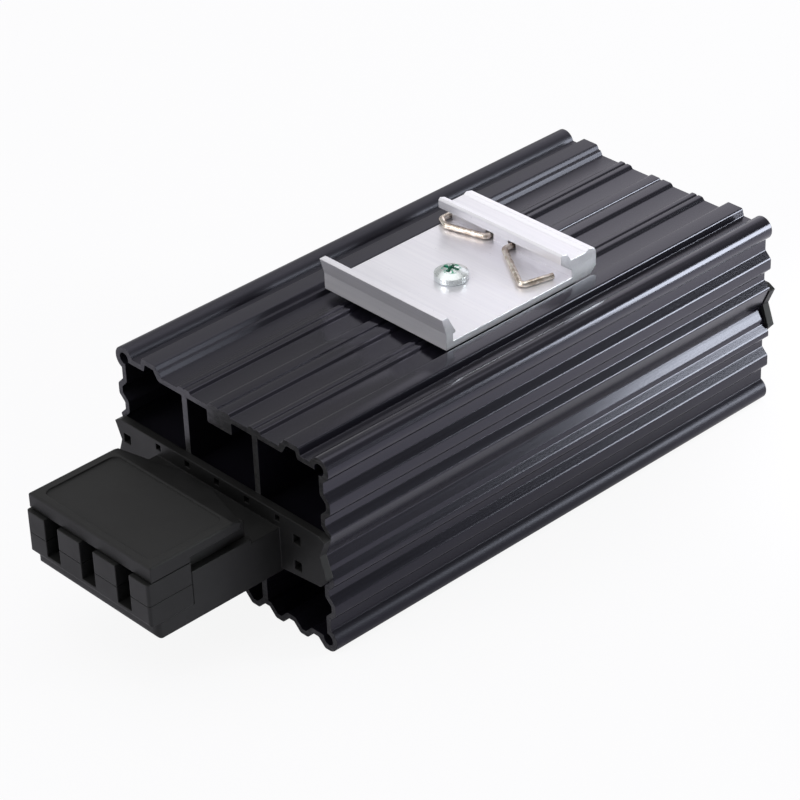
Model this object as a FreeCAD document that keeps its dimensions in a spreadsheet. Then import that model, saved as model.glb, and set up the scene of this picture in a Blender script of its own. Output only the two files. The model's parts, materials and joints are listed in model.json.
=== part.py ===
"""Enclosure heater: a fluted aluminium extrusion with a heating stack in its middle duct,
a plastic terminal housing on the front face, a cap on the rear face and a clip for a
35 mm rail on top. Millimetres. X is the width, +Y points from the terminals to the rear
cap, +Z is up. The origin lies on the underside, at the middle of the extrusion's length."""
import FreeCAD, Part
import math
import os
from FreeCAD import Placement, Rotation, Vector

SIZES = {
    "profile_width": 70.0,
    "profile_height": 50.0,
    "profile_length": 141.0,
    "wall": 1.3,
    "top_floor_drop": 2.6,
    "fine_ridge_rise": 0.75,
    "fine_ridge_flank": 0.6,
    "fine_groove_half": 0.5,
    "fine_groove_depth": 0.4,
    "centre_ridge_half": 3.3,
    "web_ridge_offset": 11.6,
    "web_ridge_half": 1.7,
    "web_notch_half": 0.35,
    "web_notch_depth": 0.35,
    "rail_ridge_inner": 21.2,
    "rail_ridge_outer": 25.8,
    "rail_ridge_drop": 0.2,
    "rail_ridge_step": 0.6,
    "rail_ridge_flank": 0.6,
    "corner_valley_start": 26.3,
    "corner_valley_drop": 2.1,
    "bead_radius": 2.9,
    "bead_bore_radius": 1.45,
    "side_flute_depth": 1.8,
    "side_flute_half": 0.9,
    "side_flute_low": 9.25,
    "side_flute_high": 17.35,
    "side_bump_height": 6.6,
    "side_notch_depth": 2.8,
    "side_step_depth": 1.5,
    "side_step_start": 2.6,
    "side_step_end": 3.6,
    "side_step_foot": 5.2,
    "base_flute_first": 4.1,
    "base_flute_pitch": 8.0,
    "base_flute_half": 0.8,
    "base_flute_depth": 2.0,
    "web_thickness": 1.7,
    "duct_wall": 1.6,
    "boss_width": 8.0,
    "boss_depth": 4.4,
    "clip_width": 39.6,
    "clip_plate": 1.7,
    "clip_shift": 0.6,
    "clip_offset": 0.75,
    "clip_edge": 0.5,
    "clip_foot_height": 1.25,
    "clip_foot_width": 3.0,
    "clip_foot_spacing": 24.0,
    "clip_foot_inset": 2.5,
    "rail_width": 35.0,
    "rail_slot": 1.9,
    "spring_room": 2.7,
    "hook_wall": 2.1,
    "hook_flare": 1.2,
    "hook_flare_start": 4.2,
    "hook_height": 8.3,
    "hook_lip": 1.8,
    "hook_nose": 0.9,
    "bar_nose": 3.5,
    "bar_nose_rise": 2.7,
    "bar_height": 8.8,
    "bar_lip": 2.0,
    "bar_valley": 6.4,
    "bar_length": 7.9,
    "bar_chamfer": 1.8,
    "spring_wire": 1.5,
    "spring_bend": 1.1,
    "spring_slot_width": 2.5,
    "spring_slot_depth": 2.6,
    "spring_clearance": 0.1,
    "spring_left_outer": 20.2,
    "spring_left_inner": 6.6,
    "spring_right_inner": 0.6,
    "spring_left_elbow_x": 17.4,
    "spring_left_elbow": 3.9,
    "spring_left_turn": 2.4,
    "spring_right_elbow_x": 14.9,
    "spring_right_elbow": 11.5,
    "spring_right_tip_x": 17.1,
    "spring_right_tip": 3.4,
    "spring_lead": 1.1,
    "spring_right_turn_x": 0.4,
    "spring_right_turn": 2.4,
    "screw_thread": 3.5,
    "screw_head_diameter": 8.0,
    "screw_head_height": 2.9,
    "screw_rim_height": 1.6,
    "screw_length": 7.5,
    "screw_clearance": 0.25,
    "screw_recess": 0.9,
    "screw_recess_span": 3.9,
    "screw_recess_depth": 1.7,
    "screw_recess_turn": 20.0,
    "housing_width": 40.8,
    "housing_reach": 38.4,
    "housing_step": 1.5,
    "housing_bottom_drop": 8.5,
    "housing_base": 4.0,
    "housing_wall": 1.8,
    "block_depth": 11.8,
    "block_split": 0.7,
    "block_top": 6.2,
    "seam": 0.15,
    "slot_pitch": 12.0,
    "slot_width": 4.6,
    "slot_floor": 1.3,
    "slot_depth": 8.0,
    "side_wall_top": 3.8,
    "shelf_top": 2.8,
    "shelf_length": 10.0,
    "shelf_thickness": 1.5,
    "lid_top": 10.2,
    "lid_gap": 0.3,
    "lid_setback": 1.1,
    "lid_thickness": 2.4,
    "lid_slope_start": 14.4,
    "lid_slope_drop": 2.3,
    "lid_neck_start": 12.5,
    "lid_neck_end": 7.0,
    "lid_neck_width": 9.0,
    "lid_skirt": 1.6,
    "lid_skirt_inset": 3.0,
    "panel_depth": 0.35,
    "panel_inset": 2.3,
    "panel_front": 1.4,
    "panel_rear": 0.6,
    "panel_corner": 2.0,
    "lid_edge": 0.6,
    "tray_edge": 1.5,
    "block_edge": 0.7,
    "flange_thickness": 2.0,
    "flange_inset": 0.1,
    "flange_top": 6.6,
    "flange_corner": 1.0,
    "flange_bottom": 7.8,
    "flange_notch": 1.9,
    "flange_notch_rise": 1.2,
    "flange_lower_corner": 4.2,
    "vent_pitch": 9.9,
    "vent_size": 1.6,
    "vent_height": 5.0,
    "latch_hole": 2.4,
    "latch_offset": 25.9,
    "latch_left_offset": 30.9,
    "latch_upper": 2.2,
    "latch_lower": 4.6,
    "tongue_reach": 6.0,
    "fit_clearance": 0.15,
    "cap_thickness": 2.0,
    "element_count": 5,
    "element_length": 20.0,
    "element_width": 24.0,
    "element_thickness": 2.4,
    "element_gap": 5.0,
    "plate_thickness": 0.8,
    "plate_width": 29.0,
    "frame_end": 2.0,
    "sleeve_thickness": 0.5,
    "sleeve_margin": 1.5,
    "lug_width": 4.8,
    "earth_rise": 0.3,
    "lug_reach": 22.5,
    "clamp_width": 6.4,
    "clamp_height": 9.4,
    "clamp_depth": 5.5,
    "clamp_sheet": 0.6,
    "clamp_setback": 0.4,
}

doc = FreeCAD.newDocument("enclosure_heater")
sheet = doc.addObject("Spreadsheet::Sheet", "sizes")
for row, (alias, value) in enumerate(SIZES.items(), start=1):
    sheet.set(f"A{row}", alias)
    sheet.set(f"B{row}", str(value))
    sheet.setAlias(f"B{row}", alias)
doc.recompute()


def size(alias):
    """A driving dimension, read from the sheet."""
    return float(sheet.get(alias))


HALF_WIDTH = size("profile_width") / 2
HEIGHT = size("profile_height")
MID = HEIGHT / 2
HALF_LENGTH = size("profile_length") / 2
FRONT = -HALF_LENGTH
WALL = size("wall")
STACK = size("element_thickness") + 2 * size("plate_thickness")
DUCT_HEIGHT = STACK + 2 * size("sleeve_thickness")
DUCT_WIDTH = size("plate_width") + 2 * size("sleeve_thickness") + 2 * size("fit_clearance")
MITRE = math.tan(math.radians(22.5))
RAIL_SEAT = HEIGHT - size("rail_ridge_drop")
SUBPARTS = []


def bind(obj, **expressions):
    """Bind properties to the sheet; a name such as Base_x stands for Placement.Base.x."""
    for name, expression in expressions.items():
        path = "Placement.Base." + name[-1] if name.startswith("Base_") else name
        for alias in SIZES:
            expression = expression.replace("<" + alias + ">", "sizes." + alias)
        obj.setExpression(path, expression)
    return obj


def box(name, **expressions):
    return bind(doc.addObject("Part::Box", name), **expressions)


def fuse(name, *shapes):
    obj = doc.addObject("Part::MultiFuse", name)
    obj.Shapes = list(shapes)
    return obj


def cut(name, base, *tools):
    obj = doc.addObject("Part::Cut", name)
    obj.Base = base
    obj.Tool = tools[0] if len(tools) == 1 else fuse(name + "_tools", *tools)
    return obj


def raw(name, shape):
    obj = doc.addObject("Part::Feature", name)
    obj.Shape = shape
    return obj


def extrude(name, face, direction, length):
    """Extrude a section feature; the length is bound to the sheet."""
    obj = doc.addObject("Part::Extrusion", name)
    obj.Base = face
    obj.DirMode = "Custom"
    obj.Dir = direction
    obj.Solid = True
    bind(obj, LengthFwd=length)
    return obj


def rounded(name, base, radius, chosen):
    """Round the edges of a feature whose middle points pass a test."""
    doc.recompute()
    obj = doc.addObject("Part::Fillet", name)
    obj.Base = base
    edges = enumerate(base.Shape.Edges, start=1)
    obj.Edges = [(i, radius, radius) for i, edge in edges if chosen(edge.BoundBox.Center)]
    return obj


def subpart(node, obj):
    """Give a finished piece its node name."""
    obj.Label = node
    SUBPARTS.append((node, obj))
    return obj


def polygon(points, to_vector):
    """A filled outline; its corners are put in one turning sense, so that outlines unite."""
    loop = points + points[:1]
    if sum(u0 * v1 - u1 * v0 for (u0, v0), (u1, v1) in zip(loop, loop[1:])) > 0:
        loop.reverse()
    return Part.Face(Part.makePolygon([to_vector(*p) for p in loop]))


def at_front(x, z):
    """A section point on the extrusion's front face."""
    return Vector(x, FRONT, z)


def mirrored(half):
    """Close a right-hand outline with its mirror image in X."""
    return half + [(-x, z) for x, z in reversed(half) if x > 1e-9]


def parallel_line(points, distance):
    """Offset an open polyline to its right-hand side, with mitred corners."""
    shifted = []
    for (x0, z0), (x1, z1) in zip(points, points[1:]):
        run = math.hypot(x1 - x0, z1 - z0)
        nx, nz = (z1 - z0) / run * distance, -(x1 - x0) / run * distance
        shifted.append(((x0 + nx, z0 + nz), (x1 + nx, z1 + nz)))
    line = [shifted[0][0]]
    for (p, q), (r, t) in zip(shifted, shifted[1:]):
        ax, az = q[0] - p[0], q[1] - p[1]
        bx, bz = t[0] - r[0], t[1] - r[1]
        along = ((r[0] - p[0]) * bz - (r[1] - p[1]) * bx) / (ax * bz - az * bx)
        line.append((p[0] + ax * along, p[1] + az * along))
    return line + [shifted[-1][1]]


FLOOR = HEIGHT - size("top_floor_drop")
VALLEY = HEIGHT - size("corner_valley_drop")
RIDGE = FLOOR + size("fine_ridge_rise")
SIDE_FLOOR = HALF_WIDTH - size("side_flute_depth")
RAIL_FOOT = size("rail_ridge_inner") - 2 * size("rail_ridge_flank") - size("rail_ridge_step")
BEAD_X = HALF_WIDTH - size("bead_radius")
BEAD_DROP = size("bead_radius")
FINE_FLANK = size("fine_ridge_flank")


def top_outline():
    """Right half of the ribbed top, from the centre groove to the corner bead."""
    groove = size("fine_groove_half")
    centre, half = size("web_ridge_offset"), size("web_ridge_half")
    notch, flank = size("web_notch_half"), size("rail_ridge_flank")
    step = (RAIL_SEAT + FLOOR) / 2
    return [
        (0, RIDGE - size("fine_groove_depth")),
        (groove * 0.6, RIDGE - size("fine_groove_depth")),
        (groove, RIDGE),
        (size("centre_ridge_half"), RIDGE),
        (size("centre_ridge_half") + FINE_FLANK, FLOOR),
        (centre - half - FINE_FLANK, FLOOR),
        (centre - half, RIDGE),
        (centre - notch, RIDGE),
        (centre, RIDGE - size("web_notch_depth")),
        (centre + notch, RIDGE),
        (centre + half, RIDGE),
        (centre + half + FINE_FLANK, FLOOR),
        (RAIL_FOOT, FLOOR),
        (RAIL_FOOT + flank, step),
        (RAIL_FOOT + flank + size("rail_ridge_step"), step),
        (size("rail_ridge_inner"), RAIL_SEAT),
        (size("rail_ridge_outer"), RAIL_SEAT),
        (size("corner_valley_start"), VALLEY),
        (BEAD_X, VALLEY),
        (BEAD_X, HEIGHT - BEAD_DROP),
    ]


def side_outline(steps):
    """Right side from the upper bead down: two flutes, the V notch with its steps, two flutes."""
    depth, half = size("side_flute_depth"), size("side_flute_half")
    high, low = size("side_flute_high"), size("side_flute_low")
    flutes = [
        (SIDE_FLOOR, high + half),
        (SIDE_FLOOR, high - half),
        (HALF_WIDTH, high - half - depth),
        (HALF_WIDTH, low + half + depth),
        (SIDE_FLOOR, low + half),
        (SIDE_FLOOR, low - half),
        (HALF_WIDTH, size("side_bump_height")),
    ]
    notch = [(HALF_WIDTH - size("side_notch_depth"), 0)]
    lower = [(x, -z) for x, z in reversed(flutes)]
    return [(x, MID + z) for x, z in flutes + notch + steps + lower]


NOTCH_STEPS = [
    (HALF_WIDTH - size("side_step_depth"), -size("side_step_start")),
    (HALF_WIDTH - size("side_step_depth"), -size("side_step_end")),
    (HALF_WIDTH, -size("side_step_foot")),
]


def base_flutes():
    """Centres of the right-hand flutes of the underside, from the corner inwards."""
    first, pitch = size("base_flute_first"), size("base_flute_pitch")
    reach = BEAD_X - first - size("base_flute_half") - size("base_flute_depth")
    return [first + i * pitch for i in range(int(reach // pitch), -1, -1)]


def base_outline(open_corner):
    """Right half of the underside, from the bead inwards to the centre land."""
    half, depth = size("base_flute_half"), size("base_flute_depth")
    points = []
    for centre in base_flutes():
        points += [
            (centre + half + depth, 0),
            (centre + half, depth),
            (centre - half, depth),
            (centre - half - depth, 0),
        ]
    return (points if open_corner else points[1:]) + [(0, 0)]


def bead_discs(radius):
    centres = [(sx * BEAD_X, z) for sx in (1, -1) for z in (BEAD_DROP, HEIGHT - BEAD_DROP)]
    discs = [Part.makeCircle(radius, at_front(x, z), Vector(0, 1, 0)) for x, z in centres]
    return [Part.Face(Part.Wire(disc)) for disc in discs]


def outer_face():
    """The whole outline of the extrusion, filled."""
    half = top_outline()
    half += [(SIDE_FLOOR, HEIGHT - BEAD_DROP)] + side_outline(NOTCH_STEPS)
    half += [(SIDE_FLOOR, BEAD_DROP), (BEAD_X, BEAD_DROP), (BEAD_X, 0)]
    half += base_outline(open_corner=True)
    outline = polygon(mirrored(half), at_front)
    return outline.multiFuse(bead_discs(size("bead_radius"))).removeSplitter()


def inner_face():
    """The hollow: a parallel to the outline one wall further in, open into the bead bores."""
    half = [
        (0, FLOOR),
        (RAIL_FOOT + size("rail_ridge_step") / 2, FLOOR),
        (size("rail_ridge_inner"), RAIL_SEAT),
        (size("rail_ridge_outer"), RAIL_SEAT),
        (size("corner_valley_start"), VALLEY),
        (SIDE_FLOOR, VALLEY),
    ]
    half += side_outline([])[1:-1]
    half += [(SIDE_FLOOR, size("base_flute_depth"))] + base_outline(open_corner=False)[1:]
    hollow = polygon(mirrored(parallel_line(half, WALL)), at_front)
    return hollow.multiFuse(bead_discs(size("bead_bore_radius"))).removeSplitter()


def rectangle(x0, x1, z0, z1):
    return polygon([(x0, z0), (x1, z0), (x1, z1), (x0, z1)], at_front)


def rib_faces():
    """The band round the duct, two webs above and two below it, and the screw boss."""
    web, boss = size("web_thickness") / 2, size("boss_width") / 2
    shelf = DUCT_HEIGHT / 2 + size("duct_wall")
    faces = [rectangle(-HALF_WIDTH, HALF_WIDTH, MID - shelf, MID + shelf)]
    for side in (-1, 1):
        middle = side * size("web_ridge_offset")
        faces.append(rectangle(middle - web, middle + web, WALL, FLOOR - WALL / 2))
    faces.append(rectangle(-boss, boss, FLOOR - size("boss_depth"), FLOOR - WALL / 2))
    return faces


def duct_faces():
    """The middle duct and the two side pockets between it and the V notches."""
    duct_half, duct_side = DUCT_HEIGHT / 2, DUCT_WIDTH / 2
    notch_wall = HALF_WIDTH - size("side_notch_depth") - WALL
    spans = [(-duct_side, duct_side)]
    spans += [(duct_side + WALL, notch_wall), (-notch_wall, -duct_side - WALL)]
    return [rectangle(x0, x1, MID - duct_half, MID + duct_half) for x0, x1 in spans]


def along_profile(name, faces):
    """Prisms that run the whole length of the extrusion."""
    sections = [raw(f"{name}_section_{i}", face) for i, face in enumerate(faces, start=1)]
    prisms = [
        extrude(f"{name}_prism_{i}", part, Vector(0, 1, 0), "<profile_length>")
        for i, part in enumerate(sections, start=1)
    ]
    return prisms[0] if len(prisms) == 1 else fuse(name, *prisms)


def screw_pilot(name, radius, low, high):
    """Vertical bore on the clip screw's axis, between two heights."""
    obj = doc.addObject("Part::Cylinder", name)
    bind(obj, Radius=radius, Height=f"({high}) - ({low})")
    return bind(obj, Base_x="<clip_shift>", Base_y="-<clip_offset>", Base_z=low)


outline = along_profile("outline", [outer_face()])
shell = cut("profile_shell", outline, along_profile("hollow", [inner_face()]))
ribs = doc.addObject("Part::MultiCommon", "ribs_trimmed")
ribs.Shapes = [along_profile("ribs", rib_faces()), outline]
blank = fuse("profile_blank", shell, ribs)
pilot = screw_pilot(
    "profile_pilot", "<screw_thread> / 2",
    "<profile_height> - <top_floor_drop> - <boss_depth> - 1", "<profile_height>",
)
profile = cut("heater_profile", blank, along_profile("duct", duct_faces()), pilot)
profile.Refine = True
subpart("heater_profile", profile)

PLATE_TOP = RIDGE + size("clip_foot_height") + size("clip_plate")
CLIP_BASE = PLATE_TOP - size("clip_plate")
RAIL_GAP = size("rail_width") + size("spring_room")
SLOT_FRONT = -size("clip_offset") - RAIL_GAP / 2
SLOT_REAR = SLOT_FRONT + RAIL_GAP
SLOT_TOP = PLATE_TOP + size("rail_slot")


def at_clip_end(y, z):
    """A section point on the clip's left end."""
    return Vector(size("clip_shift") - size("clip_width") / 2, y, z)


def clip_section():
    """Plate, flared front hook with its nose, and rear bar with its lip, in one outline."""
    outside = SLOT_FRONT - size("hook_wall")
    hook_top = CLIP_BASE + size("hook_height")
    lip_top, nose = CLIP_BASE + size("bar_height"), SLOT_REAR - size("bar_nose")
    valley, back = CLIP_BASE + size("bar_valley"), SLOT_REAR + size("bar_length")
    chamfer, edge = size("bar_chamfer"), size("clip_edge")
    inside_nose = SLOT_FRONT + size("hook_nose")
    outline = [
        (outside, CLIP_BASE),
        (outside, CLIP_BASE + size("hook_flare_start")),
        (outside - size("hook_flare"), hook_top),
        (outside - size("hook_flare") + size("hook_lip"), hook_top),
        (inside_nose, SLOT_TOP + edge / 2),
        (inside_nose - edge / 2, SLOT_TOP),
        (SLOT_FRONT, SLOT_TOP),
        (SLOT_FRONT, PLATE_TOP),
        (SLOT_REAR, PLATE_TOP),
        (SLOT_REAR, SLOT_TOP),
        (nose, SLOT_TOP + size("bar_nose_rise")),
        (nose, lip_top - edge),
        (nose + edge, lip_top),
        (nose + size("bar_lip"), lip_top - edge),
        (nose + size("bar_lip") + chamfer - edge, valley),
        (back - 3 * edge - chamfer, valley),
        (back - chamfer - edge, valley + edge),
        (back - edge, valley),
        (back, valley - 2 * edge),
        (back, CLIP_BASE + chamfer),
        (back - chamfer, CLIP_BASE),
    ]
    return polygon(outline, at_clip_end)


def bent_wire(points, radius, bend):
    """A round wire along straight runs joined by tangent arcs."""
    edges, start = [], points[0]
    for before, corner, after in zip(points, points[1:], points[2:]):
        arrive, leave = (corner - before).normalize(), (after - corner).normalize()
        half_turn = arrive.getAngle(leave) / 2
        reach = bend * math.tan(half_turn)
        first, last = corner - arrive * reach, corner + leave * reach
        inward = (leave - arrive).normalize()
        middle = corner + inward * (bend / math.cos(half_turn) - bend)
        edges += [Part.LineSegment(start, first).toShape(), Part.Arc(first, middle, last).toShape()]
        start = last
    edges.append(Part.LineSegment(start, points[-1]).toShape())
    path = Part.Wire(edges)
    ring = Part.Wire(Part.makeCircle(radius, points[0], points[1] - points[0]))
    return path.makePipeShell([ring], True, False)


SPRING_AXIS = PLATE_TOP + size("spring_wire") / 2 + size("spring_clearance")
SPRING_SEAT = SLOT_REAR + size("spring_slot_depth") - size("spring_clearance")
RIDGE_TEXT = "(<profile_height> - <top_floor_drop> + <fine_ridge_rise>)"
PLATE_TEXT = f"({RIDGE_TEXT} + <clip_foot_height> + <clip_plate>)"
SPRING_SLOTS = {
    "left_outer": -size("spring_left_outer"),
    "left_inner": -size("spring_left_inner"),
    "right_inner": size("spring_right_inner"),
}


def spring_point(x, before_bar):
    """A point of a spring wire, at a distance in front of the rear bar's foot."""
    return Vector(x + size("clip_shift"), SLOT_REAR - before_bar, SPRING_AXIS)


def spring_wires():
    """Two bent wires whose ends are held in slots of the rear bar."""
    seat = SLOT_REAR - SPRING_SEAT
    left_inner, left_outer = SPRING_SLOTS["left_inner"], SPRING_SLOTS["left_outer"]
    right_inner = SPRING_SLOTS["right_inner"]
    left = [
        spring_point(left_inner, seat),
        spring_point(left_inner, size("spring_lead")),
        spring_point(-size("spring_left_elbow_x"), size("spring_left_elbow")),
        spring_point(left_outer, size("spring_left_turn")),
        spring_point(left_outer, seat),
    ]
    right = [
        spring_point(right_inner, seat),
        spring_point(right_inner, size("spring_right_turn")),
        spring_point(size("spring_right_elbow_x"), size("spring_right_elbow")),
        spring_point(size("spring_right_tip_x"), size("spring_right_tip")),
    ]
    return {"clip_spring_left": left, "clip_spring_right": right}


def clip_foot(side):
    """Rib under the plate that stands on the extrusion's fine ridges."""
    return box(
        f"clip_foot_{side + 2}",
        Length="<clip_width> - 2 * <clip_foot_inset>",
        Width="<clip_foot_width>",
        Height="<clip_foot_height>",
        Base_x="<clip_shift> - <clip_width> / 2 + <clip_foot_inset>",
        Base_y=f"{side} * <clip_foot_spacing> / 2 - <clip_offset> - <clip_foot_width> / 2",
        Base_z=RIDGE_TEXT,
    )


clip_bar = extrude("clip_bar", raw("clip_section", clip_section()), Vector(1, 0, 0), "<clip_width>")
clip_blank = fuse("clip_blank", clip_bar, clip_foot(-1), clip_foot(1))
clip_hole = screw_pilot(
    "clip_hole", "<screw_thread> / 2 + <screw_clearance>", RIDGE_TEXT, PLATE_TEXT + " + 1"
)
clip_slots = [
    box(
        "slot_" + key,
        Length="<spring_slot_width>",
        Width="<spring_slot_depth>",
        Height="<spring_wire> + 3 * <spring_clearance>",
        Base_x=f"{x} + <clip_shift> - <spring_slot_width> / 2",
        Base_y="<rail_width> / 2 + <spring_room> / 2 - <clip_offset>",
        Base_z=PLATE_TEXT,
    )
    for key, x in SPRING_SLOTS.items()
]
subpart("rail_clip", cut("rail_clip", clip_blank, clip_hole, *clip_slots))

for node, points in spring_wires().items():
    wire = bent_wire(points, size("spring_wire") / 2, size("spring_bend"))
    subpart(node, raw(node, wire))


def screw_section():
    """Half section of the pan head screw, crowned head above its seat at the origin."""
    radius, height = size("screw_head_diameter") / 2, size("screw_head_height")
    thread, rim, edge = size("screw_thread") / 2, size("screw_rim_height"), size("clip_edge")
    tip = -size("screw_length")
    axis = Part.makeLine(Vector(0, 0, height), Vector(0, 0, tip))
    shank = Part.makePolygon([
        Vector(0, 0, tip),
        Vector(thread - edge, 0, tip),
        Vector(thread, 0, tip + edge),
        Vector(thread, 0, 0),
        Vector(radius - edge / 2, 0, 0),
        Vector(radius, 0, edge / 2),
        Vector(radius, 0, rim),
    ])
    dome = height - rim
    dome_radius = (radius ** 2 + dome ** 2) / (2 * dome)
    drop = dome_radius - math.sqrt(dome_radius ** 2 - (radius / 2) ** 2)
    half_way = Vector(radius / 2, 0, height - drop)
    crown = Part.Arc(Vector(radius, 0, rim), half_way, Vector(0, 0, height)).toShape()
    return Part.Face(Part.Wire(shank.Edges + [crown, axis]))


def screw_recess(turn):
    """One arm of the cross recess in the screw head."""
    arm = box(
        f"screw_recess_{turn}",
        Length="<screw_recess_span>",
        Width="<screw_recess>",
        Height="<screw_head_height>",
    )
    turned_by = Rotation(Vector(0, 0, 1), turn + size("screw_recess_turn"))
    floor = size("screw_head_height") - size("screw_recess_depth")
    corner = Vector(-size("screw_recess_span") / 2, -size("screw_recess") / 2, floor)
    arm.Placement = Placement(turned_by.multVec(corner), turned_by)
    return arm


screw_body = doc.addObject("Part::Revolution", "screw_body")
screw_body.Source = raw("screw_section", screw_section())
screw_body.Axis = Vector(0, 0, 1)
screw_body.Angle = 360
screw = cut("clip_screw", screw_body, screw_recess(0), screw_recess(90))
bind(screw, Base_x="<clip_shift>", Base_y="-<clip_offset>", Base_z=PLATE_TEXT)
subpart("clip_screw", screw)

FRONT_TEXT = "-<profile_length> / 2"
MID_TEXT = "<profile_height> / 2"
DUCT_HEIGHT_TEXT = "(<element_thickness> + 2 * <plate_thickness> + 2 * <sleeve_thickness>)"
DUCT_WIDTH_TEXT = "(<plate_width> + 2 * <sleeve_thickness> + 2 * <fit_clearance>)"
SLOT_OFFSETS = [i * size("slot_pitch") for i in (-1, 0, 1)]


def front_box(name, width, centre, near, far, low, high):
    """A box given by its width, its reach in front of the profile and its heights from mid-height."""
    return box(
        name,
        Length=width,
        Width=f"({near}) - ({far})",
        Height=f"({high}) - ({low})",
        Base_x=f"{centre} - ({width}) / 2",
        Base_y=f"{FRONT_TEXT} - ({near})",
        Base_z=f"{MID_TEXT} + ({low})",
    )


def end_plate_outline():
    """Plate over the extrusion's middle band, its ends notched like the profile's sides."""
    reach = HALF_WIDTH - size("flange_inset")
    notch = reach - size("flange_notch")
    top, bottom = MID + size("flange_top"), MID - size("flange_bottom")
    half = [
        (notch, top),
        (reach, top - size("flange_corner")),
        (notch, MID + size("flange_notch_rise")),
        (reach, MID - size("flange_lower_corner")),
        (notch, MID - size("side_bump_height")),
        (size("housing_width") / 2, bottom),
    ]
    return polygon(mirrored(half), at_front)


def tongue(name, reach_text):
    """A hollow spigot that fits the duct."""
    clearance = "<fit_clearance>"
    return box(
        name,
        Length=f"{DUCT_WIDTH_TEXT} - 2 * {clearance}",
        Width=reach_text,
        Height=f"{DUCT_HEIGHT_TEXT} - 2 * {clearance}",
        Base_x=f"-{DUCT_WIDTH_TEXT} / 2 + {clearance}",
        Base_z=f"{MID_TEXT} - {DUCT_HEIGHT_TEXT} / 2 + {clearance}",
    )


def lead_window(name, near, far):
    """Opening through which the contact lugs pass from the duct to the terminals."""
    return front_box(
        name, "<plate_width>", "0", near, far,
        "-<element_thickness> / 2 - <plate_thickness> - <fit_clearance>",
        "<element_thickness> / 2 + <plate_thickness> + <fit_clearance>",
    )


def square_holes(name, count, pitch, first, height, hole):
    """A row of square holes through an end plate."""
    return [
        front_box(
            f"{name}_{i}", hole, f"({first} + {i} * ({pitch}))", "<flange_thickness>", "0",
            f"{height} - {hole} / 2", f"{height} + {hole} / 2",
        )
        for i in range(count)
    ]


def housing_parts():
    """Base tray, side walls, rear shelf and the plate that covers the front of the profile."""
    flange = extrude(
        "flange_plate", raw("flange_outline", end_plate_outline()), Vector(0, -1, 0), "<flange_thickness>"
    )
    tray_front = "<housing_reach> - <housing_step>"
    walls_front = "<housing_reach> - <block_depth> - <seam>"
    floor = "-<housing_bottom_drop>"
    inside_flange = "<flange_thickness> / 4"
    base = front_box(
        "tray", "<housing_width>", "0", tray_front, inside_flange, floor, f"{floor} + <housing_base>"
    )
    lip_y = FRONT - size("housing_reach") + size("housing_step")
    top = MID - size("housing_bottom_drop") + size("housing_base")
    tray = rounded("tray_rounded", base, size("tray_edge"), lambda m: m.y < lip_y + 0.1 and m.z < top - 0.1)
    walls = front_box(
        "walls", "<housing_width>", "0", walls_front, inside_flange, floor, "<shelf_top>"
    )
    rims = front_box(
        "rims", "<housing_width>", "0", walls_front, "<shelf_length>", floor, "<side_wall_top>"
    )
    spigot = tongue("front_tongue", "<tongue_reach>")
    bind(spigot, Base_y=FRONT_TEXT)
    return fuse("housing_solid", flange, tray, walls, rims, spigot)


def housing_cuts():
    inner = "<housing_width> - 2 * <housing_wall>"
    floor = "-<housing_bottom_drop> + <housing_wall>"
    room = front_box(
        "terminal_room", inner, "0", "<housing_reach> - <block_depth>", "<shelf_length>",
        floor, "<side_wall_top> + 1",
    )
    under_shelf = front_box(
        "lead_room", inner, "0", "<shelf_length> + 1", "<flange_thickness> + <housing_wall>",
        floor, "<shelf_top> - <shelf_thickness>",
    )
    window = lead_window("housing_window", "<shelf_length>", "-<tongue_reach>")
    earth = front_box(
        "earth_slot", "<lug_width> + 2 * <fit_clearance>", "0", "<shelf_length>", "0",
        EARTH_LOW + " - <fit_clearance>", EARTH_HIGH + " + <fit_clearance>",
    )
    vents = square_holes("vent", 5, "<vent_pitch>", "-2 * <vent_pitch>", "<vent_height>", "<vent_size>")
    latches = square_holes("latch_upper", 1, "0", "<latch_offset>", "<latch_upper>", "<latch_hole>")
    latches += square_holes("latch_lower", 1, "0", "<latch_offset>", "-<latch_lower>", "<latch_hole>")
    latches += square_holes("latch_left", 1, "0", "-<latch_left_offset>", "<latch_upper>", "<latch_hole>")
    return [room, under_shelf, window, earth] + vents + latches


EARTH_LOW = f"-{DUCT_HEIGHT_TEXT} / 2 - <duct_wall> + <fit_clearance> + <earth_rise>"
EARTH_HIGH = f"{EARTH_LOW} + <plate_thickness>"

subpart("terminal_housing", cut("terminal_housing", housing_parts(), *housing_cuts()))


def terminal_block(node, low, high, slot_low, slot_depth):
    """A row of four clamping bars between three wire slots."""
    back = "<housing_reach> - <block_depth>"
    bar = front_box(node + "_bar", "<housing_width>", "0", "<housing_reach>", back, low, high)
    face_y, corner_x = FRONT - size("housing_reach"), size("housing_width") / 2
    soft = rounded(
        node + "_soft", bar, size("block_edge"),
        lambda m: m.y < face_y + 0.1 and (abs(m.x) > corner_x - 0.1 or m.z < MID - size("block_split")),
    )
    slots = [
        front_box(
            f"{node}_slot_{i}", "<slot_width>", f"({i} * <slot_pitch>)", "<housing_reach> + 1",
            slot_depth, slot_low, f"({high}) + 1",
        )
        for i in (-1, 0, 1)
    ]
    return subpart(node, cut(node, soft, *slots))


BASE_TOP = "-<housing_bottom_drop> + <housing_base>"
terminal_block(
    "lower_terminal_block", BASE_TOP, "<block_split>",
    BASE_TOP + " + <slot_floor>", "<housing_reach> - <block_depth> - 1",
)
terminal_block(
    "upper_terminal_block", "<block_split> + <seam>", "<block_top>",
    "<block_split>", "<housing_reach> - <slot_depth>",
)


def at_lid_end(y, z):
    return Vector(-size("housing_width") / 2, y, z)


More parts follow.
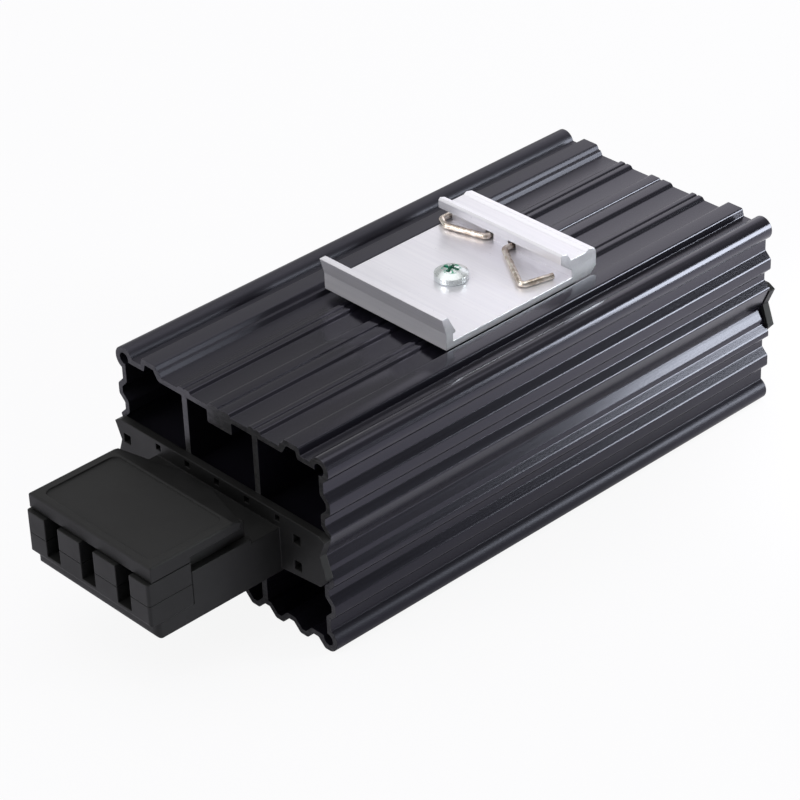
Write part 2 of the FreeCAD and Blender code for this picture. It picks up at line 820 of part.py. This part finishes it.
def lid_section():
    """Lid seen from the side: flat top, a slope at the rear and the foot that stands on the shelf."""
    front = FRONT - size("housing_reach") + size("lid_setback")
    rear, foot = FRONT - size("lid_neck_end"), FRONT - size("shelf_length") - size("lid_skirt")
    top, low = MID + size("lid_top"), MID + size("lid_top") - size("lid_thickness")
    outline = [
        (front, low),
        (front, top),
        (FRONT - size("lid_slope_start"), top),
        (rear, top - size("lid_slope_drop")),
        (rear, MID + size("shelf_top")),
        (foot, MID + size("shelf_top")),
        (foot, low),
    ]
    return polygon(outline, at_lid_end)


def lid_plan():
    """Lid seen from above: as wide as the housing, narrowing to a neck at the rear."""
    half, neck = size("housing_width") / 2, size("lid_neck_width") / 2
    front = FRONT - size("housing_reach") + size("lid_setback")
    outline = [
        (half, front),
        (half, FRONT - size("lid_neck_start")),
        (neck, FRONT - size("lid_neck_end")),
    ]
    return polygon(mirrored(outline), lambda x, y: Vector(x, y, MID))


def lid_parts():
    """Top plate, the skirt that stands over the blocks and the skirt inside the side walls."""
    side = extrude("lid_side", raw("lid_section", lid_section()), Vector(1, 0, 0), "<housing_width>")
    plan = extrude("lid_column", raw("lid_plan", lid_plan()), Vector(0, 0, 1), "<lid_top>")
    slab = doc.addObject("Part::MultiCommon", "lid_slab")
    slab.Shapes = [side, plan]
    top, edge_x = MID + size("lid_top") - 0.1, size("housing_width") / 2 - 0.1
    front = FRONT - size("housing_reach") + size("lid_setback") + 0.1
    plate = rounded(
        "lid_plate", slab, size("lid_edge"), lambda m: m.z > top and (m.y < front or abs(m.x) > edge_x)
    )
    under = "<lid_top> - <lid_thickness>"
    pad = front_box(
        "lid_pad", "<housing_width> - 2 * <lid_skirt_inset>", "0", "<housing_reach> - <lid_skirt_inset>",
        "<housing_reach> - <block_depth>", "<block_top>", under,
    )
    apron = front_box(
        "lid_apron", "<housing_width>", "0", "<housing_reach> - <lid_setback>",
        "<housing_reach> - <block_depth>", "<block_top> + <lid_gap>", under,
    )
    skirt = front_box(
        "lid_skirt_outer", "<housing_width> - 2 * <housing_wall> - 2 * <fit_clearance>", "0",
        "<housing_reach> - <block_depth>", "<shelf_length> + <fit_clearance>", "<shelf_top>", under,
    )
    hollow = front_box(
        "lid_skirt_inner", "<housing_width> - 2 * <lid_skirt_inset>", "0",
        "<housing_reach> - <block_depth> - <lid_skirt>", "<shelf_length> + <lid_skirt>",
        "<shelf_top> - 1", under,
    )
    return fuse("lid_solid", plate, pad, apron, cut("lid_skirt_ring", skirt, hollow))


def lid_panel():
    """Shallow sunken panel with round corners in the lid's top."""
    near = "<housing_reach> - <lid_setback> - <lid_edge> - <panel_front>"
    far = "<lid_slope_start> + <panel_rear>"
    block = front_box(
        "panel_block", "<housing_width> - 2 * <panel_inset>", "0", near, far,
        "<lid_top> - <panel_depth>", "<lid_top> + 1",
    )
    middle = MID + size("lid_top") + (1 - size("panel_depth")) / 2
    return rounded("panel", block, size("panel_corner"), lambda m: abs(m.z - middle) < 0.1)


subpart("terminal_lid", cut("terminal_lid", lid_parts(), lid_panel()))


cap_outline = raw("cap_outline", end_plate_outline())
cap_plate = extrude("cap_plate", cap_outline, Vector(0, 1, 0), "<cap_thickness>")
bind(cap_plate, Base_y="<profile_length>")
cap_spigot = tongue("cap_tongue", "<tongue_reach>")
bind(cap_spigot, Base_y="<profile_length> / 2 - <tongue_reach>")
subpart("rear_end_cap", fuse("rear_end_cap", cap_plate, cap_spigot))


def stack_box(name, width, length, low, high, centre="0"):
    """A flat piece of the heating stack, centred in the duct."""
    return box(
        name,
        Length=width,
        Width=length,
        Height=f"({high}) - ({low})",
        Base_x=f"-({width}) / 2",
        Base_y=f"{centre} - ({length}) / 2",
        Base_z=f"{MID_TEXT} + ({low})",
    )


HALF_ELEMENT = "<element_thickness> / 2"
ELEMENT_PITCH = "(<element_length> + <element_gap>)"
STACK_LENGTH = f"(<element_count> * {ELEMENT_PITCH} - <element_gap> + 2 * <frame_end>)"
HALF_STACK = f"({HALF_ELEMENT} + <plate_thickness>)"


def element_centre(i):
    return f"({i} - (<element_count> - 1) / 2) * {ELEMENT_PITCH}"


windows = []
for i in range(int(size("element_count"))):
    element = stack_box(
        f"element_{i + 1}", "<element_width>", "<element_length>",
        "-" + HALF_ELEMENT, HALF_ELEMENT, element_centre(i),
    )
    subpart(f"ptc_element_{i + 1}", element)
    windows.append(stack_box(
        f"frame_window_{i + 1}", "<element_width> + 2 * <fit_clearance>",
        "<element_length> + 2 * <fit_clearance>", "-<element_thickness>", "<element_thickness>",
        element_centre(i),
    ))
frame_bar = stack_box("frame_bar", "<plate_width>", STACK_LENGTH, "-" + HALF_ELEMENT, HALF_ELEMENT)
subpart("element_frame", cut("element_frame", frame_bar, *windows))


def contact_plate(node, low, high, side):
    """Contact sheet over all elements, with a lug that reaches its terminal."""
    sheet_body = stack_box(node + "_sheet", "<plate_width>", STACK_LENGTH, low, high)
    lug = front_box(
        node + "_lug", "<lug_width>", f"({side} * <slot_pitch>)", "<lug_reach>",
        f"{STACK_LENGTH} / 2 - <profile_length> / 2 - 1", low, high,
    )
    return subpart(node, fuse(node, sheet_body, lug))


contact_plate("contact_plate_upper", HALF_ELEMENT, HALF_STACK, -1)
contact_plate("contact_plate_lower", "-" + HALF_STACK, "-" + HALF_ELEMENT, 1)

SLEEVE_LENGTH = f"({STACK_LENGTH} + 2 * <sleeve_margin>)"
sleeve_outer = stack_box(
    "sleeve_outer", "<plate_width> + 2 * <sleeve_thickness>", SLEEVE_LENGTH,
    f"-{DUCT_HEIGHT_TEXT} / 2", f"{DUCT_HEIGHT_TEXT} / 2",
)
sleeve_inner = stack_box(
    "sleeve_inner", "<plate_width>", SLEEVE_LENGTH + " + 2", "-" + HALF_STACK, HALF_STACK
)
subpart("insulation_sleeve", cut("insulation_sleeve", sleeve_outer, sleeve_inner))


def terminal_clamp(node, side):
    """Bent sheet cage, open to the wire in front and to the lug behind."""
    near = "<housing_reach> - <block_depth> - <clamp_setback>"
    far = near + " - <clamp_depth>"
    low = "-<housing_bottom_drop> + <housing_wall>"
    high = low + " + <clamp_height>"
    centre = f"({side} * <slot_pitch>)"
    cage = front_box(node + "_cage", "<clamp_width>", centre, near, far, low, high)
    inside = front_box(
        node + "_window", "<clamp_width> - 2 * <clamp_sheet>", centre, near + " + 1", far + " - 1",
        low + " + <clamp_sheet>", high + " - <clamp_sheet>",
    )
    return subpart(node, cut(node, cage, inside))


for node, side in (("clamp_live", -1), ("clamp_earth", 0), ("clamp_neutral", 1)):
    terminal_clamp(node, side)

earth = front_box("earth_contact", "<lug_width>", "0", "<lug_reach>", "0", EARTH_LOW, EARTH_HIGH)
subpart("earth_contact", earth)


def check_and_export():
    """Every object must be in order before any file is written."""
    doc.recompute()
    for obj in doc.Objects:
        if "Invalid" in obj.State or "Error" in obj.State:
            raise RuntimeError(f"{obj.Name} failed: {obj.State}")
    for node, obj in SUBPARTS:
        shape = obj.Shape
        if shape.isNull() or not shape.isValid() or not shape.Solids:
            raise RuntimeError(f"{node} has no sound shape")
        print(f"{node}: {len(shape.Solids)} solid, {shape.Volume / 1000:.2f} cm3")
    os.makedirs("parts", exist_ok=True)
    for node, obj in SUBPARTS:
        obj.Shape.exportStep(f"parts/{node}.step")


check_and_export()
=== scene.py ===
"""Looks of an enclosure heater: a black fluted extrusion with a rail clip and a terminal housing.

The frame is in metres: +Y runs from the terminals to the rear cap and +Z up to the clip.
"""

import json
import math

import bmesh
import bpy
from mathutils import Euler, Matrix, Vector
from mathutils.geometry import tessellate_polygon


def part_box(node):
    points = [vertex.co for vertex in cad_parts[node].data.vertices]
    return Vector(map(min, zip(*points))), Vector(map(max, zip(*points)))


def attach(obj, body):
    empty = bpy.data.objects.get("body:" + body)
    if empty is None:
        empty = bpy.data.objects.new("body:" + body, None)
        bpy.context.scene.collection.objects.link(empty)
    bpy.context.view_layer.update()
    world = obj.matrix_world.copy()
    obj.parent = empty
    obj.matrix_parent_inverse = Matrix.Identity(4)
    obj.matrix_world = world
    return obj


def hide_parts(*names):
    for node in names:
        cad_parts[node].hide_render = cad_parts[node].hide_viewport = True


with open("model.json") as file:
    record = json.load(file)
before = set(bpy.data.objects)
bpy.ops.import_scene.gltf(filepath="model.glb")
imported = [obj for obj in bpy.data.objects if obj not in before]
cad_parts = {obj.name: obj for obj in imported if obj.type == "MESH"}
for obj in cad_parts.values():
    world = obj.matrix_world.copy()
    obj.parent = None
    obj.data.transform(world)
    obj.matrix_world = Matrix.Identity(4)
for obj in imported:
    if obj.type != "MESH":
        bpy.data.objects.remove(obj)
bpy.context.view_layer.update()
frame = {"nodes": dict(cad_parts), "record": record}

MM = 0.001

# Where a finish changes, and where painted shade darkens the lower sides: two heights, a place on
# the left and a distance from the screw's axis.
LOW_BEAD_TOP = 7.0 * MM
# Painted shade: between these heights the sheen rises, so the sides darken towards the floor as if
# in its shadow.
PAINTED_SHADE_SHEEN_RISES = (3.0 * MM, 30.0 * MM)
DULL_FROM = -20.0 * MM
SCREW_PAINT_RADIUS = 2.6 * MM

# How the extrusion's cut ends are found, and the rounding of its drawn edges.
WELD_DISTANCE = 0.001 * MM
CAP_NORMAL = 0.9
EDGE_REACH = 0.4 * MM
HOLLOW_REACH = 0.2 * MM
LARGEST_SHARE = 0.42
ARC_STEPS = 4
ARC_JOINT = math.radians(20.0)
SHARP_ANGLE = math.radians(32.0)

# The photograph's camera: its place, its turn about X, Y and Z in degrees, and its lens.
EYE = Vector((0.43970, -0.41883, 0.40594))
EYE_TURN = (57.4123, 1.8805, 46.4097)
FOCAL_LENGTH = 138.97
SENSOR_WIDTH = 36.0
CLIP_START = 0.01

# The point that the panels face, and the size of the spot's own lamp.
MIDDLE = Vector((0.0, -0.01, 0.03))
SPOT_RADIUS = 0.02

# The floor, and where along Y its glow in reflections rises and falls.
FLOOR_SIZE = 12.0
GLOW_RISES = (-0.06, 0.14)
GLOW_FALLS = (0.2, 0.35)


class Nodes:
    """The node tree of a material or a world, with a short way to add and join its nodes."""

    def __init__(self, owner, output_kind="ShaderNodeOutputMaterial"):
        owner.use_nodes = True
        self.owner = owner
        self.tree = owner.node_tree
        self.tree.nodes.clear()
        self.output = self.tree.nodes.new(output_kind)

    def add(self, kind, inputs=None, **settings):
        """A new node with its settings, and its inputs given values or joined to other nodes."""
        node = self.tree.nodes.new(kind)
        for key, value in settings.items():
            setattr(node, key, value)
        for key, value in (inputs or {}).items():
            self.set(node, key, value)
        return node

    def set(self, node, key, value):
        if isinstance(value, bpy.types.NodeSocket):
            self.tree.links.new(value, node.inputs[key])
        else:
            node.inputs[key].default_value = value

    def show(self, shader):
        self.tree.links.new(shader, self.output.inputs[0])
        return self.owner

    def math(self, operation, first, second=0.0):
        return self.add("ShaderNodeMath", {0: first, 1: second}, operation=operation).outputs[0]

    def between(self, value, low, high, to_low=0.0, to_high=1.0):
        """A smooth step from one level to another as the value goes from low to high."""
        inputs = {
            "Value": value, "From Min": low, "From Max": high, "To Min": to_low, "To Max": to_high,
        }
        node = self.add("ShaderNodeMapRange", inputs, interpolation_type="SMOOTHSTEP")
        return node.outputs["Result"]

    def colour_mix(self, factor, first, second):
        """The Mix node's sockets for colours are inputs 6 and 7 and output 2."""
        inputs = {0: factor, 6: first, 7: second}
        return self.add("ShaderNodeMix", inputs, data_type="RGBA").outputs[2]

    def coordinates(self, kind):
        return self.add("ShaderNodeTexCoord").outputs[kind]

    def axes(self, vector):
        return self.add("ShaderNodeSeparateXYZ", {0: vector}).outputs

    def noise(self, scales, detail=2.0, roughness=0.5):
        """Noise with cells of 1 / scale metres; a scale is one number, or one for each axis."""
        if isinstance(scales, float):
            scales = (scales, scales, scales)
        mapping = {"Vector": self.coordinates("Object"), "Scale": scales}
        mapped = self.add("ShaderNodeMapping", mapping).outputs[0]
        inputs = {"Vector": mapped, "Scale": 1.0, "Detail": detail, "Roughness": roughness}
        return self.add("ShaderNodeTexNoise", inputs).outputs[0]

    def soft_edges(self, radius):
        return self.add("ShaderNodeBevel", {"Radius": radius}, samples=4).outputs[0]

    def bump(self, height, distance, strength, normal):
        inputs = {"Height": height, "Distance": distance, "Strength": strength, "Normal": normal}
        return self.add("ShaderNodeBump", inputs).outputs[0]

    def surface(self, **inputs):
        named = {key.replace("_", " "): value for key, value in inputs.items()}
        return self.show(self.add("ShaderNodeBsdfPrincipled", named).outputs[0])


def material_nodes(name):
    return Nodes(bpy.data.materials.new(name))


def rgb(red, green, blue):
    return (red, green, blue, 1.0)


def grey(level):
    return rgb(level, level, level)


def anodised_profile():
    """Black anodising: satin along the drawn faces, duller low down, at the left and where sawn,
    with painted shade as less sheen towards the bottom.
    """
    n = material_nodes("anodised_profile")
    _, facing, _ = n.axes(n.coordinates("Normal"))
    cut = n.between(n.math("ABSOLUTE", facing), CAP_NORMAL, 0.98)
    lines = n.noise((5000.0, 12.0, 5000.0), detail=3.0, roughness=0.7)
    patches = n.between(n.noise((60.0, 25.0, 60.0), detail=3.0), 0.3, 0.7)
    grain = n.noise(2600.0)
    saw = n.noise((900.0, 900.0, 4000.0), detail=3.0)
    drawn = n.colour_mix(patches, rgb(0.0055, 0.0051, 0.008), rgb(0.008, 0.0074, 0.0112))
    sawn = n.colour_mix(n.between(saw, 0.35, 0.7), grey(0.012), grey(0.04))
    x, _, z = n.axes(n.coordinates("Object"))
    low = n.between(z, LOW_BEAD_TOP * 0.7, LOW_BEAD_TOP, 0.2, 0.0)
    left = n.between(x, DULL_FROM, DULL_FROM * 0.6, 0.24, 0.0)
    satin = n.between(lines, 0.3, 0.7, 0.145, 0.2)
    gloss = n.math("ADD", satin, n.math("MAXIMUM", low, left))
    drawing = n.math("ADD", n.math("MULTIPLY", lines, 0.6), n.math("MULTIPLY", grain, 0.4))
    height = n.colour_mix(cut, drawing, saw)
    return n.surface(
        Base_Color=n.colour_mix(cut, drawn, sawn),
        Roughness=n.math("ADD", gloss, n.math("MULTIPLY", cut, 0.12)),
        Specular_Tint=rgb(0.84, 0.82, 1.0),
        # Painted shade: less sheen lower down darkens the lower sides as if in the floor's shadow.
        Specular_IOR_Level=n.between(z, *PAINTED_SHADE_SHEEN_RISES, 0.32, 0.6),
        Normal=n.bump(height, 0.02 * MM, 0.22, n.soft_edges(0.15 * MM)),
    )


def clip_aluminium():
    """Bare satin aluminium with faint lines along the drawing direction, X."""
    n = material_nodes("clip_aluminium")
    lines = n.noise((30.0, 5200.0, 5200.0), detail=3.0, roughness=0.65)
    bands = n.noise((25.0, 1500.0, 1500.0), detail=3.0, roughness=0.6)
    specks = n.between(n.noise(1400.0), 0.72, 0.8)
    colour = n.colour_mix(n.between(bands, 0.3, 0.7), rgb(0.89, 0.88, 0.93), rgb(0.94, 0.93, 0.97))
    return n.surface(
        Base_Color=n.colour_mix(specks, colour, rgb(0.62, 0.62, 0.66)),
        Metallic=0.66,
        Roughness=n.between(bands, 0.3, 0.7, 0.31, 0.39),
        Normal=n.bump(lines, 0.02 * MM, 0.35, n.soft_edges(0.3 * MM)),
    )


def spring_wire():
    """Bright spring steel with brownish stains."""
    n = material_nodes("spring_steel")
    stains = n.between(n.noise(700.0), 0.35, 0.65)
    return n.surface(
        Base_Color=n.colour_mix(stains, rgb(0.55, 0.46, 0.38), rgb(0.88, 0.82, 0.74)),
        Metallic=1.0,
        Roughness=0.22,
    )


def zinc_screw():
    """Bright zinc with blotches of green thread lock in and around the driver recess."""
    n = material_nodes("zinc_steel")
    low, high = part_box("clip_screw")
    axis, top = (low + high) / 2.0, high.z
    x, y, z = n.axes(n.coordinates("Object"))
    aside, along = n.math("SUBTRACT", x, axis.x), n.math("SUBTRACT", y, axis.y)
    squares = n.math("ADD", n.math("MULTIPLY", aside, aside), n.math("MULTIPLY", along, along))
    across = n.math("SQRT", squares)
    inside = n.between(across, SCREW_PAINT_RADIUS * 0.8, SCREW_PAINT_RADIUS, 1.0, 0.0)
    deep = n.between(z, top - 0.8 * MM, top - 0.2 * MM, 0.06, 0.0)
    blotch = n.between(n.math("ADD", n.noise(1500.0, detail=3.0), deep), 0.5, 0.56)
    paint = n.math("MULTIPLY", inside, blotch)
    scratches = n.noise(1800.0, detail=3.0)
    return n.surface(
        Base_Color=n.colour_mix(paint, rgb(0.74, 0.78, 0.78), rgb(0.03, 0.3, 0.18)),
        Metallic=n.math("SUBTRACT", 1.0, paint),
        Roughness=n.between(scratches, 0.3, 0.7, 0.24, 0.38),
        Normal=n.soft_edges(0.2 * MM),
    )


def moulded_plastic(name, level, edge):
    """Black glass-filled plastic with the fine grain of a spark-eroded mould."""
    n = material_nodes(name)
    grain = n.noise(5200.0)
    cloud = n.noise(120.0)
    return n.surface(
        Base_Color=n.colour_mix(cloud, grey(level * 0.85), grey(level * 1.2)),
        Roughness=n.between(cloud, 0.3, 0.7, 0.44, 0.54),
        Specular_IOR_Level=0.3,
        Normal=n.bump(grain, 0.03 * MM, 0.35, n.soft_edges(edge)),
    )


def plain(name, colour, metallic, roughness):
    """Finish of a piece that the closed body hides."""
    n = material_nodes(name)
    darker = [channel * 0.82 for channel in colour]
    return n.surface(
        Base_Color=n.colour_mix(n.noise(500.0), rgb(*darker), rgb(*colour)),
        Metallic=metallic,
        Roughness=roughness,
    )


def finishes():
    """One material for each slot of the record."""
    return {
        "anodised_profile": anodised_profile(),
        "clip_aluminium": clip_aluminium(),
        "spring_steel": spring_wire(),
        "zinc_steel": zinc_screw(),
        "terminal_plastic": moulded_plastic("terminal_plastic", 0.0085, 0.4 * MM),
        "cap_plastic": moulded_plastic("cap_plastic", 0.0085, 0.3 * MM),
        "ceramic": plain("ceramic", (0.3, 0.28, 0.27), 0.0, 0.7),
        "frame_plastic": plain("frame_plastic", (0.78, 0.76, 0.7), 0.0, 0.55),
        "contact_aluminium": plain("contact_aluminium", (0.8, 0.8, 0.82), 1.0, 0.35),
        "insulation_film": plain("insulation_film", (0.6, 0.33, 0.07), 0.0, 0.3),
        "terminal_metal": plain("terminal_metal", (0.76, 0.72, 0.6), 1.0, 0.3),
    }


def end_loops(piece):
    """The closed outlines of an extruded piece's front face, as (x, z) points.

    The outer outline reaches furthest to the left, so it comes first.
    """
    mesh = bmesh.new()
    mesh.from_mesh(piece.data)
    bmesh.ops.remove_doubles(mesh, verts=mesh.verts, dist=WELD_DISTANCE)
    front = min(vert.co.y for vert in mesh.verts)
    following = {}
    for edge in mesh.edges:
        on_front = all(vert.co.y <= front + WELD_DISTANCE for vert in edge.verts)
        if not on_front or len(edge.link_faces) != 2:
            continue
        caps = [face for face in edge.link_faces if abs(face.normal.y) > CAP_NORMAL]
        if len(caps) == 1:
            for loop in caps[0].loops:
                if loop.edge == edge:
                    following[loop.vert.index] = loop.link_loop_next.vert.index
    mesh.verts.ensure_lookup_table()
    loops = []
    while following:
        start = next(iter(following))
        points, here = [start], following.pop(start)
        while here != start:
            points.append(here)
            here = following.pop(here)
        loops.append([(mesh.verts[i].co.x, mesh.verts[i].co.z) for i in points])
    mesh.free()
    return sorted(loops, key=lambda loop: min(x for x, _ in loop))


def area(points):
    """Twice the signed area inside a closed outline."""
    return sum(a[0] * b[1] - b[0] * a[1] for a, b in zip(points, points[1:] + points[:1]))


def rounded_loop(points, sense):
    """Replace each clear corner by a small arc, tighter in the hollows; straight joints stay.

    The sense has the sign of the turn that an outward corner makes.
    """
    result = []
    corners = [Vector(point) for point in points]
    neighbours = zip(corners[-1:] + corners[:-1], corners, corners[1:] + corners[:1])
    for before, corner, after in neighbours:
        back, ahead = before - corner, after - corner
        if math.pi - back.angle(ahead) < ARC_JOINT:
            result.append(corner)
            continue
        outward = (corner - before).cross(after - corner) * sense > 0
        reach = EDGE_REACH if outward else HOLLOW_REACH
        cut = min(reach, LARGEST_SHARE * back.length, LARGEST_SHARE * ahead.length)
        first, last = corner + back.normalized() * cut, corner + ahead.normalized() * cut
        for step in range(ARC_STEPS + 1):
            t = step / ARC_STEPS
            result.append(first * (1 - t) ** 2 + corner * 2 * t * (1 - t) + last * t ** 2)
    return result


def prism(name, loops, front, rear):
    """A hollow bar along Y whose section is the first loop less the others."""
    vertices, faces, pairs = [], [], []
    for loop in loops:
        base, count = len(vertices), len(loop)
        vertices += [(x, front, z) for x, z in loop] + [(x, rear, z) for x, z in loop]
        for i in range(count):
            j = (i + 1) % count
            pairs.append((base + i, base + count + i))
            faces.append((base + i, base + count + i, base + count + j, base + j))
    wall_count = len(faces)
    for a, b, c in tessellate_polygon([[Vector((x, z, 0.0)) for x, z in loop] for loop in loops]):
        faces.append((pairs[a][0], pairs[b][0], pairs[c][0]))
        faces.append((pairs[c][1], pairs[b][1], pairs[a][1]))
    mesh = bpy.data.meshes.new(name)
    mesh.from_pydata(vertices, [], faces)
    work = bmesh.new()
    work.from_mesh(mesh)
    bmesh.ops.recalc_face_normals(work, faces=work.faces)
    work.to_mesh(mesh)
    work.free()
    for face in mesh.polygons:
        face.use_smooth = face.index < wall_count
    mesh.set_sharp_from_angle(angle=SHARP_ANGLE)
    piece = bpy.data.objects.new(name, mesh)
    bpy.context.collection.objects.link(piece)
    return piece


def soft_profile(material):
    """The extrusion again, with the drawn edges rounded as the die leaves them."""
    node = frame["nodes"]["heater_profile"]
    outlines = end_loops(node)
    sense = area(outlines[0])
    loops = [rounded_loop(outline, sense) for outline in outlines]
    ends = [vert.co.y for vert in node.data.vertices]
    piece = prism("soft_profile", loops, min(ends), max(ends))
    piece.data.materials.append(material)
    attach(piece, "root")
    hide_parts("heater_profile")


def dress_nodes():
    """Give every node the material of its slot, and the extrusion its softer copy."""
    slots = {entry["node"]: entry["material_slot"] for entry in frame["record"]["subparts"]}
    made = finishes()
    for name, piece in frame["nodes"].items():
        piece.data.materials.clear()
        piece.data.materials.append(made[slots[name]])
    soft_profile(made["anodised_profile"])


def add_floor():
    """White sweep: the eye sees it as white, reflections see it pale, and it keeps the shadow.

    In reflections it is brightest just behind the object and dimmer in front and far away.
    """
    bpy.ops.mesh.primitive_plane_add(size=FLOOR_SIZE, location=(0.0, 0.0, 0.0))
    floor = bpy.context.object
    floor.name = "floor"
    n = material_nodes("floor_white")
    path = n.add("ShaderNodeLightPath").outputs
    mirrored = n.math("MAXIMUM", path["Is Glossy Ray"], path["Is Transmission Ray"])
    depth = n.axes(n.coordinates("Object"))[1]
    rising = n.between(depth, *GLOW_RISES, 0.12, 0.55)
    falling = n.between(depth, *GLOW_FALLS, 1.0, 0.1)
    glow = n.math("MULTIPLY", mirrored, n.math("MULTIPLY", rising, falling))
    share = n.math("MAXIMUM", n.math("MULTIPLY", path["Is Camera Ray"], 0.9), glow)
    white = n.add("ShaderNodeEmission", {"Color": grey(1.0), "Strength": 1.0}).outputs[0]
    matt = n.add("ShaderNodeBsdfDiffuse", {"Color": rgb(0.78, 0.76, 0.84)}).outputs[0]
    blend = n.add("ShaderNodeMixShader", {0: share, 1: matt, 2: white})
    floor.data.materials.append(n.show(blend.outputs[0]))


def hang_lamp(data, place, target):
    """Put a lamp at its place and turn it to the target."""
    lamp = bpy.data.objects.new(data.name, data)
    bpy.context.collection.objects.link(lamp)
    lamp.location = place
    lamp.rotation_euler = (target - Vector(place)).to_track_quat("-Z", "Y").to_euler()
    return lamp


def add_panel(name, place, width, height, radiance, colour=(1.0, 1.0, 1.0)):
    """A lamp that faces the object and is as bright as the radiance says, whatever its size."""
    data = bpy.data.lights.new(name, "AREA")
    data.shape = "RECTANGLE"
    data.size = width
    data.size_y = height
    data.energy = math.pi * width * height * radiance
    data.color = colour
    hang_lamp(data, place, MIDDLE).visible_camera = False


def add_spot(name, place, target, half_angle, power):
    """A soft cone that brightens a patch of the floor, for the black sides to mirror."""
    data = bpy.data.lights.new(name, "SPOT")
    data.spot_size = math.radians(2.0 * half_angle)
    data.spot_blend = 1.0
    data.energy = power
    data.shadow_soft_size = SPOT_RADIUS
    hang_lamp(data, place, Vector(target)).visible_glossy = False


def add_lamps():
    """Wide light from above and in front, and two panels that the flutes mirror from behind."""
    add_panel("overhead", (-0.15, -0.1, 1.5), 2.0, 2.0, 0.95)
    add_panel("front", (-0.2, -1.4, 0.75), 0.9, 0.7, 4.0)
    add_panel("back_left", (-0.22, 0.47, 0.28), 0.4, 0.36, 0.9, (0.95, 0.92, 1.0))
    add_panel("back_right", (0.466, 0.488, 0.188), 0.19, 0.275, 17.0, (0.925, 1.0, 1.0))
    add_spot("floor_behind", (0.35, 0.55, 0.6), (0.11, 0.16, 0.0), 9.0, 40.0)


def set_world():
    """Pale walls all round, darker to the right, and a dim ceiling, like a studio."""
    world = bpy.data.worlds.new("studio")
    bpy.context.scene.world = world
    n = Nodes(world, "ShaderNodeOutputWorld")
    x, _, z = n.axes(n.coordinates("Generated"))
    wall = n.between(z, 0.18, 0.42, 0.85, 0.5)
    side = n.between(x, 0.1, 0.6, 1.0, 0.45)
    back = n.add("ShaderNodeBackground", {"Strength": n.math("MULTIPLY", wall, side)})
    n.show(back.outputs[0])


def add_camera():
    """A camera where the photograph was taken from."""
    data = bpy.data.cameras.new("eye")
    data.lens = FOCAL_LENGTH
    data.sensor_width = SENSOR_WIDTH
    data.clip_start = CLIP_START
    camera = bpy.data.objects.new("eye", data)
    bpy.context.collection.objects.link(camera)
    turn = Euler([math.radians(angle) for angle in EYE_TURN])
    camera.matrix_world = Matrix.Translation(EYE) @ turn.to_matrix().to_4x4()
    bpy.context.scene.camera = camera


dress_nodes()
add_floor()
add_lamps()
set_world()
add_camera()
bpy.context.scene.view_settings.view_transform = "Standard"
